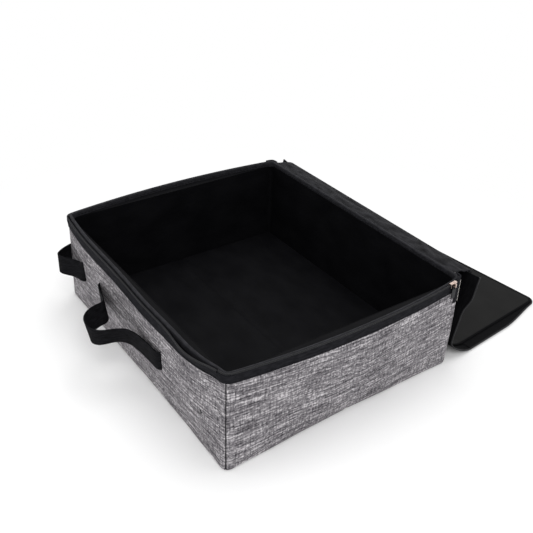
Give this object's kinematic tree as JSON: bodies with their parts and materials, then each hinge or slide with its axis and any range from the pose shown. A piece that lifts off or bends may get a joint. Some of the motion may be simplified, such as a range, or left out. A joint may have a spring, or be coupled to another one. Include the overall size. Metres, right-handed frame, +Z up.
{
  "type": "foldable litter box",
  "caption": "Soft-sided foldable litter tray with stiffened walls, a webbing carry handle, a corner loop and a zip-on lid that hangs open from its rear rim.",
  "frame": {"origin": "centre of the underside of the tray, on the surface that it stands on", "axes": "+X along the long walls towards the zip slider's end, +Y from the wall with the carry handle towards the wall that carries the lid, +Z up"},
  "size_m": [0.4258, 0.6038, 0.1299],
  "materials": {
    "grey_fabric": "heather linen-look woven polyester",
    "black_tape": "woven tape",
    "tray_liner": "smooth waterproof coated fabric",
    "lid_lining": "smooth coated fabric, satin",
    "stiffener_board": "black polyethylene board, sewn in",
    "webbing": "ribbed woven webbing",
    "zip_coil": "nylon coil",
    "snap_metal": "dark gloss lacquer",
    "zip_metal": "pale rose plated casting"
  },
  "bodies": {
    "base": {"base_cover": "grey_fabric", "base_board_front": "stiffener_board", "base_board_rear": "stiffener_board", "floor_liner": "tray_liner", "corner_cover_front_left": "grey_fabric", "corner_cover_front_right": "grey_fabric", "corner_cover_rear_left": "grey_fabric", "corner_cover_rear_right": "grey_fabric", "corner_lining_front_left": "tray_liner", "corner_lining_front_right": "tray_liner", "corner_lining_rear_left": "tray_liner", "corner_lining_rear_right": "tray_liner", "corner_zip_front_left": "black_tape", "corner_zip_front_right": "black_tape", "corner_loop": "webbing"},
    "front_wall": {"front_wall_cover": "grey_fabric", "front_wall_board": "stiffener_board", "front_wall_liner": "tray_liner", "front_rim_binding": "black_tape", "front_zip_tape": "black_tape", "front_zip_coil": "zip_coil", "handle_anchor_left": "webbing", "handle_anchor_right": "webbing", "corner_loop_anchor": "webbing", "snap_cap": "snap_metal"},
    "carry_handle": {"carry_handle": "webbing"},
    "rear_wall": {"rear_wall_cover": "grey_fabric", "rear_wall_board": "stiffener_board", "rear_wall_liner": "tray_liner", "rear_rim_binding": "black_tape"},
    "left_wall": {"left_wall_cover": "grey_fabric", "left_wall_board_front": "stiffener_board", "left_wall_board_rear": "stiffener_board", "left_wall_liner": "tray_liner", "left_rim_binding": "black_tape", "left_zip_tape": "black_tape", "left_zip_coil": "zip_coil"},
    "right_wall": {"right_wall_cover": "grey_fabric", "right_wall_board_front": "stiffener_board", "right_wall_board_rear": "stiffener_board", "right_wall_liner": "tray_liner", "right_rim_binding": "black_tape", "right_zip_tape": "black_tape", "right_zip_coil": "zip_coil"},
    "zip_slider": {"zip_slider": "zip_metal"},
    "zip_pull": {"zip_pull": "snap_metal"},
    "lid_strip": {"lid_hinge_strip": "lid_lining"},
    "lid_upper": {"lid_upper_lining": "lid_lining", "lid_upper_board": "stiffener_board", "lid_upper_cover": "grey_fabric", "lid_upper_binding_left": "black_tape", "lid_upper_binding_right": "black_tape", "lid_upper_zip_left": "black_tape", "lid_upper_zip_right": "black_tape", "lid_crease_fabric": "lid_lining"},
    "lid_lower": {"lid_lower_lining": "lid_lining", "lid_lower_board": "stiffener_board", "lid_lower_cover": "grey_fabric", "lid_lower_binding": "black_tape", "lid_lower_zip": "black_tape"}
  },
  "joints": [
    {"name": "long_walls_fold", "type": "hinge", "parent": "base", "child": "rear_wall", "pos_m": [0, 0.17, 0.0244], "axis": [-1, 0, 0], "range_deg": [-90, 0], "deforming": ["corner_cover_rear_left", "corner_cover_rear_right", "corner_lining_rear_left", "corner_lining_rear_right"]},
    {"name": "front_wall_fold", "type": "hinge", "parent": "base", "child": "front_wall", "pos_m": [0, -0.17, 0.0244], "axis": [1, 0, 0], "range_deg": [-90, 0], "deforming": ["front_wall_cover", "front_zip_tape", "front_zip_coil", "corner_cover_front_left", "corner_cover_front_right", "corner_lining_front_left", "corner_lining_front_right", "corner_zip_front_left", "corner_zip_front_right"]},
    {"name": "short_walls_fold", "type": "hinge", "parent": "base", "child": "left_wall", "pos_m": [-0.2, 0, 0.0115], "axis": [0, -1, 0], "range_deg": [-90, 0], "deforming": ["left_wall_cover", "left_zip_tape", "left_zip_coil"]},
    {"name": "right_wall_fold", "type": "hinge", "parent": "base", "child": "right_wall", "pos_m": [0.2, 0, 0.0115], "axis": [0, 1, 0], "range_deg": [-90, 0], "deforming": ["right_wall_cover", "right_zip_tape", "right_zip_coil"]},
    {"name": "lid_close", "type": "hinge", "parent": "rear_wall", "child": "lid_strip", "pos_m": [0, 0.17, 0.13], "axis": [1, 0, 0], "range_deg": [0, 193.6]},
    {"name": "lid_upper_fold", "type": "hinge", "parent": "lid_strip", "child": "lid_upper", "pos_m": [0, 0.19916, 0.12295], "axis": [1, 0, 0], "range_deg": [0, 89.9]},
    {"name": "lid_lower_fold", "type": "hinge", "parent": "lid_upper", "child": "lid_lower", "pos_m": [0.00112, 0.17131, 0.00561], "axis": [0.9979, 0.0506, 0.0399], "range_deg": [-103.62, 0], "deforming": ["lid_crease_fabric"]},
    {"name": "zip_slide", "type": "hinge", "parent": "right_wall", "child": "zip_slider", "pos_m": [-0.92923, 0, 0.1268], "axis": [0, 0, 1], "range_deg": [-15.12, 0]},
    {"name": "zip_pull_swing", "type": "hinge", "parent": "zip_slider", "child": "zip_pull", "pos_m": [0.20496, 0.15051, 0.1276], "axis": [0.1316, -0.9913, 0], "range_deg": [0, 170]},
    {"name": "handle_swing", "type": "hinge", "parent": "front_wall", "child": "carry_handle", "pos_m": [0, -0.1814, 0.062], "axis": [1, 0, 0], "range_deg": [-50, 30]}
  ],
  "couplings": [
    {"joint": "front_wall_fold", "follows": "long_walls_fold", "ratio": 1},
    {"joint": "right_wall_fold", "follows": "short_walls_fold", "ratio": 1},
    {"joint": "lid_upper_fold", "follows": "lid_close", "ratio": 0.46435},
    {"joint": "lid_lower_fold", "follows": "lid_close", "ratio": -0.5352}
  ]
}
